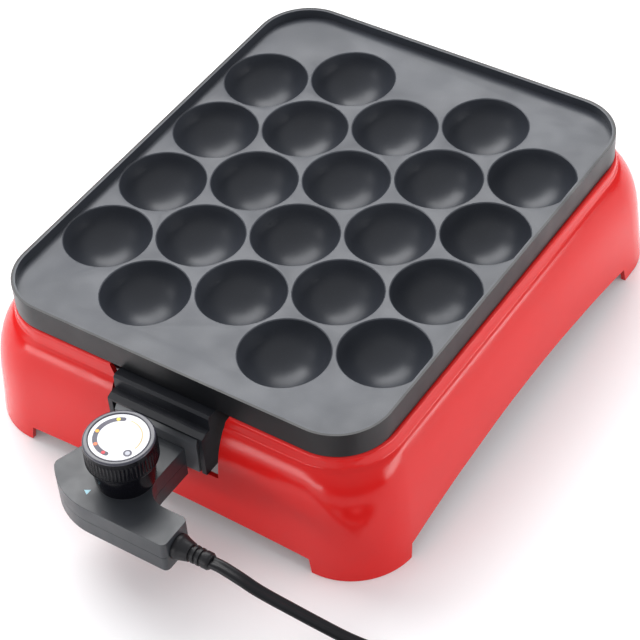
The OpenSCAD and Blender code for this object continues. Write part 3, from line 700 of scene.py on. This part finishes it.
def mark(bm, radius, angle, z, thick, count=32):
    """A flat dot at an angle in degrees, on the circle of the dial's marks."""
    x = DIAL_X + MARK_REACH * math.cos(math.radians(angle))
    y = DIAL_Y + MARK_REACH * math.sin(math.radians(angle))
    solid_loft(bm, [circle_points(x, y, level, radius, count) for level in (z, z + thick)])


def printed(name, bm, ink):
    """Print on the dial's face."""
    piece(name, bm, "dial", ink)


def make_face(settings):
    """The dial's white face and its printed scale."""
    white = moulded("dial_white", settings.face, 0.28, grain=900, depth=0.01, mottle=0.015, coat=0.3)
    ink = moulded("scale_ink", (0.05, 0.045, 0.075, 1), 0.4)
    face_z = DIAL_TOP - 0.1 * MM
    edge = 0.15 * MM
    line = [(FACE_R, DIAL_TOP - 0.9 * MM), (FACE_R, face_z - edge), (FACE_R - edge, face_z)]
    bm = bmesh.new()
    solid_loft(bm, [circle_points(DIAL_X, DIAL_Y, z, radius, 96) for radius, z in line])
    piece("dial_face", bm, "dial", white, ["dial_disc"], 35)
    bm = bmesh.new()
    arc_band(bm, 9.3 * MM, 11.5 * MM, *BAND_ENDS, face_z, PRINT_T)
    for angle in BAND_ENDS:
        mark(bm, 1.1 * MM, angle, face_z, PRINT_T * 0.9)
    printed("scale_band", bm, ink)
    bm = bmesh.new()
    mark(bm, 1.95 * MM, OFF_ANGLE, face_z, PRINT_T)
    printed("off_ring", bm, ink)
    # Piece, material, colour, radius in millimetres and angle
    dots = [("dot_yellow", "print_yellow", (0.95, 0.70, 0.05, 1), 0.9, 127),
            ("dot_orange", "print_orange", (0.93, 0.42, 0.04, 1), 0.9, 190),
            ("dot_amber", "print_amber", (0.85, 0.16, 0.04, 1), 0.9, 232),
            ("dot_red", "print_red", (0.62, 0.03, 0.05, 1), 0.9, 267),
            ("off_centre", "print_pale", (0.45, 0.46, 0.52, 1), 1.1, OFF_ANGLE)]
    for name, finish, tone, radius, angle in dots:
        bm = bmesh.new()
        mark(bm, radius * MM, angle, face_z + PRINT_T, PRINT_T, 24)
        printed(name, bm, moulded(finish, tone, 0.4))
    bm = bmesh.new()
    arc_band(bm, 9.9 * MM, 10.5 * MM, -10, 95, face_z, PRINT_T)
    printed("pale_arc", bm, moulded("print_cream", (0.55, 0.42, 0.22, 1), 0.4))


def make_collar(settings):
    """The black collar between the case and the knob."""
    black = moulded("knob_black", settings.knob, 0.2, grain=700, depth=0.02, specular=0.1)
    bm = bmesh.new()
    line = [(13.45, 47.0), (13.5, 47.3), (14.55, 59.7), (14.45, 60.05), (12, 60.05), (12, 47.0)]
    ring_loft(bm, [circle_points(DIAL_X, DIAL_Y, z * MM, r * MM, 72) for r, z in line])
    piece("collar", bm, "control", black, (), 40)


def make_pointer(settings):
    """The printed pointer on the case's top, beside the knob."""
    tone = moulded("pointer_print", settings.pointer, 0.4)
    angle = math.radians(POINTER_ANGLE)
    out = Vector((math.cos(angle), math.sin(angle), 0))
    side = Vector((-out.y, out.x, 0))
    centre = Vector((DIAL_X, DIAL_Y, CASE_TOP)) + out * POINTER_REACH
    corners = [centre - out * 1.4 * MM, centre + out * 1.3 * MM + side * 1.5 * MM,
               centre + out * 1.3 * MM - side * 1.5 * MM]
    bm = bmesh.new()
    solid_loft(bm, [corners, [c + Vector((0, 0, 0.05 * MM)) for c in corners]])
    piece("pointer", bm, "control", tone)


# ---------- operators ----------


class ShellOperator(bpy.types.Operator):
    """Makes the moulded base"""

    bl_idname = "takoyaki.shell"
    bl_label = "Base shell"

    def execute(self, context):
        make_shell(context.scene.takoyaki_shell)
        return {"FINISHED"}


class PlateOperator(bpy.types.Operator):
    """Finishes the plate, its heater, its terminals and the heat shield"""

    bl_idname = "takoyaki.plate"
    bl_label = "Plate and heater"

    def execute(self, context):
        settings = context.scene.takoyaki_plate
        coat = coated("plate_coating", settings.coat)
        steel = bare_metal("pressed_steel", settings.steel, 0.34, (1, 12, 1))
        sheath = bare_metal("heater_sheath", shade(settings.steel, 0.42), 0.46, (1, 10, 1), 300)
        plated = bare_metal("pin_metal", shade(settings.steel, 1.2), 0.18, (1, 14, 1))
        ceramic = moulded("ceramic", (0.72, 0.68, 0.58, 1), 0.5, mottle=0.06)
        make_dressed("plate", "takoyaki_plate", "plate_assembly", coat, 0.45 * MM)
        dress({"heater_tube": sheath, "heater_clips": steel, "clip_screws": steel,
               "hood_screws": steel, "heat_shield": steel, "shield_screws": steel,
               "terminal_pins": plated, "sensor_sleeve": plated, "pin_bushings": ceramic})
        make_hood(moulded("hood_black", (0.012, 0.013, 0.017, 1), 0.34, grain=1000, depth=0.02,
                          specular=0.3))
        return {"FINISHED"}


class ControlOperator(bpy.types.Operator):
    """Makes the thermostat control's case, sockets, collar and pointer"""

    bl_idname = "takoyaki.control"
    bl_label = "Control"

    def execute(self, context):
        settings = context.scene.takoyaki_control
        case = moulded("case_grey", settings.case, 0.36, grain=1400, depth=0.03, mottle=0.04)
        brass = bare_metal("contact_brass", (0.72, 0.53, 0.24, 1), 0.28, (1, 12, 1))
        steel = FINISHES["pressed_steel"]
        make_case("case_top", "case_upper", case, CASE_TOP, settings.edge)
        make_case("case_base", "case_lower", case, CASE_LOW, settings.edge)
        guard = moulded("socket_black", (0.10, 0.105, 0.115, 1), 0.36, grain=1000, depth=0.02)
        make_dressed("sockets", "socket_block", "control", guard, 0.4 * MM)
        make_collar(context.scene.takoyaki_dial)
        dress({"socket_contacts": brass, "switch_blades": brass, "thermostat_frame": steel,
               "case_screws": steel, "sensor_rod": FINISHES["pin_metal"],
               "cord_grip": FINISHES["ceramic"]})
        make_pointer(settings)
        return {"FINISHED"}


class DialOperator(bpy.types.Operator):
    """Makes the knob and its printed face"""

    bl_idname = "takoyaki.dial"
    bl_label = "Dial"

    def execute(self, context):
        settings = context.scene.takoyaki_dial
        make_knob(settings)
        make_face(settings)
        dress({"dial_shaft": FINISHES["pin_metal"]})
        return {"FINISHED"}


class CordOperator(bpy.types.Operator):
    """Makes the cord with its strain relief, coil and plug"""

    bl_idname = "takoyaki.cord"
    bl_label = "Cord and plug"

    def execute(self, context):
        settings = context.scene.takoyaki_cord
        black = (0.012, 0.012, 0.014, 1)
        rubber = moulded("relief_rubber", black, 0.42, grain=1500, depth=0.05, specular=0.25)
        vinyl = moulded("plug_black", black, 0.3, grain=1100, depth=0.03, specular=0.3)
        relief = make_dressed("relief", "strain_relief", "control", rubber, 0.25 * MM, 2)
        plug = make_dressed("plug", "plug_body", "control", vinyl, 0.8 * MM)
        dress({"plug_blades": FINISHES["contact_brass"]})
        make_cord(settings)
        return {"FINISHED"}


class StudioOperator(bpy.types.Operator):
    """Sets up the floor, the lights and the camera"""

    bl_idname = "takoyaki.studio"
    bl_label = "Studio"

    def execute(self, context):
        settings = context.scene.takoyaki_studio
        make_floor(settings)
        make_lights(settings)
        make_camera(settings)
        context.scene.view_settings.view_transform = "Standard"
        return {"FINISHED"}


# ---------- studio ----------

# The photograph's camera, solved from the plate, the feet and the dial
CAMERA_PLACE = (445.36 * MM, -582.85 * MM, 751.34 * MM)
CAMERA_RIGHT = (0.835514, 0.546168, -0.060136)
CAMERA_UP = (-0.351373, 0.615224, 0.705717)
CAMERA_BACK = (0.422437, -0.568506, 0.705937)


def make_floor(settings):
    """A wide pale floor."""
    tone = new_material("floor_tone", settings.floor, 0.6, specular=0.2)
    drive(tone, "Roughness", spread(tone, object_noise(tone, 3, 2), 0.55, 0.65))
    shader = tone.node_tree.nodes["Principled BSDF"]
    shader.inputs["Emission Color"].default_value = settings.floor
    shader.inputs["Emission Strength"].default_value = settings.glow
    bm = bmesh.new()
    bmesh.ops.create_grid(bm, x_segments=1, y_segments=1, size=6)
    mesh = bpy.data.meshes.new("floor")
    bm.to_mesh(mesh)
    bm.free()
    mesh.materials.append(tone)
    floor = bpy.data.objects.new("floor", mesh)
    bpy.context.scene.collection.objects.link(floor)


def area_light(name, place, target, width, height, power):
    """A soft rectangular light that faces its target."""
    lamp = bpy.data.lights.new(name, "AREA")
    lamp.shape = "RECTANGLE"
    lamp.size = width
    lamp.size_y = height
    lamp.energy = power
    thing = bpy.data.objects.new(name, lamp)
    thing.location = place
    thing.rotation_euler = (Vector(target) - Vector(place)).to_track_quat("-Z", "Y").to_euler()
    bpy.context.scene.collection.objects.link(thing)


def make_sky(settings):
    """A pale sky over dark studio walls."""
    world = bpy.data.worlds.new("studio")
    world.use_nodes = True
    tree = world.node_tree
    place = tree.nodes.new("ShaderNodeTexCoord")
    split = tree.nodes.new("ShaderNodeSeparateXYZ")
    climb = tree.nodes.new("ShaderNodeMapRange")
    climb.interpolation_type = "SMOOTHSTEP"
    climb.inputs["From Min"].default_value = 0.05
    climb.inputs["From Max"].default_value = 0.45
    climb.inputs["To Min"].default_value = settings.wall
    climb.inputs["To Max"].default_value = settings.sky
    tree.links.new(place.outputs["Generated"], split.inputs[0])
    tree.links.new(split.outputs["Z"], climb.inputs["Value"])
    tree.links.new(climb.outputs[0], tree.nodes["Background"].inputs["Strength"])
    tree.nodes["Background"].inputs["Color"].default_value = (0.97, 0.98, 1, 1)
    bpy.context.scene.world = world


def make_lights(settings):
    """Soft boxes over and beside the part, under a pale sky."""
    make_sky(settings)
    middle = (0, BODY_Y, 0.05)
    area_light("top_box", (-0.60, 0.46, 1.03), middle, 1.6, 0.7, settings.key)
    area_light("side_box", (1.15, 0.36, 0.22), middle, 1.0, 0.25, settings.key * 0.3)
    area_light("strip_box", (-0.38, -1.03, 0.12), middle, 1.1, 0.12, settings.key * 0.16)
    area_light("left_box", (-0.50, -0.50, 0.30), middle, 0.3, 0.3, settings.key * 0.02)


def make_camera(settings):
    """The camera at the photograph's place and angle."""
    data = bpy.data.cameras.new("camera")
    data.lens = settings.lens
    data.sensor_width = 36
    data.clip_end = 20
    camera = bpy.data.objects.new("camera", data)
    turn = Matrix((CAMERA_RIGHT, CAMERA_UP, CAMERA_BACK)).transposed().to_4x4()
    camera.matrix_world = Matrix.Translation(CAMERA_PLACE) @ turn
    bpy.context.scene.collection.objects.link(camera)
    bpy.context.scene.camera = camera


class TakoyakiPanel(bpy.types.Panel):
    """Lists the makers"""

    bl_label = "Takoyaki Maker"
    bl_idname = "VIEW3D_PT_takoyaki"
    bl_space_type = "VIEW_3D"
    bl_region_type = "UI"
    bl_category = "Takoyaki"

    def draw(self, context):
        for maker in OPERATORS:
            self.layout.operator(maker.bl_idname)


SETTINGS = {"takoyaki_shell": ShellSettings, "takoyaki_plate": PlateSettings,
            "takoyaki_control": ControlSettings, "takoyaki_dial": DialSettings,
            "takoyaki_cord": CordSettings, "takoyaki_studio": StudioSettings}
OPERATORS = (ShellOperator, PlateOperator, ControlOperator, DialOperator, CordOperator,
             StudioOperator)


def register():
    for group in SETTINGS.values():
        bpy.utils.register_class(group)
    for name, group in SETTINGS.items():
        setattr(bpy.types.Scene, name, PointerProperty(type=group))
    for maker in OPERATORS:
        bpy.utils.register_class(maker)
    bpy.utils.register_class(TakoyakiPanel)


def unregister():
    bpy.utils.unregister_class(TakoyakiPanel)
    for maker in reversed(OPERATORS):
        bpy.utils.unregister_class(maker)
    for name, group in SETTINGS.items():
        delattr(bpy.types.Scene, name)
        bpy.utils.unregister_class(group)


def main():
    register()
    bpy.ops.takoyaki.shell()
    bpy.ops.takoyaki.plate()
    bpy.ops.takoyaki.control()
    bpy.ops.takoyaki.dial()
    bpy.ops.takoyaki.cord()
    bpy.ops.takoyaki.studio()


if __name__ == "__main__":
    main()
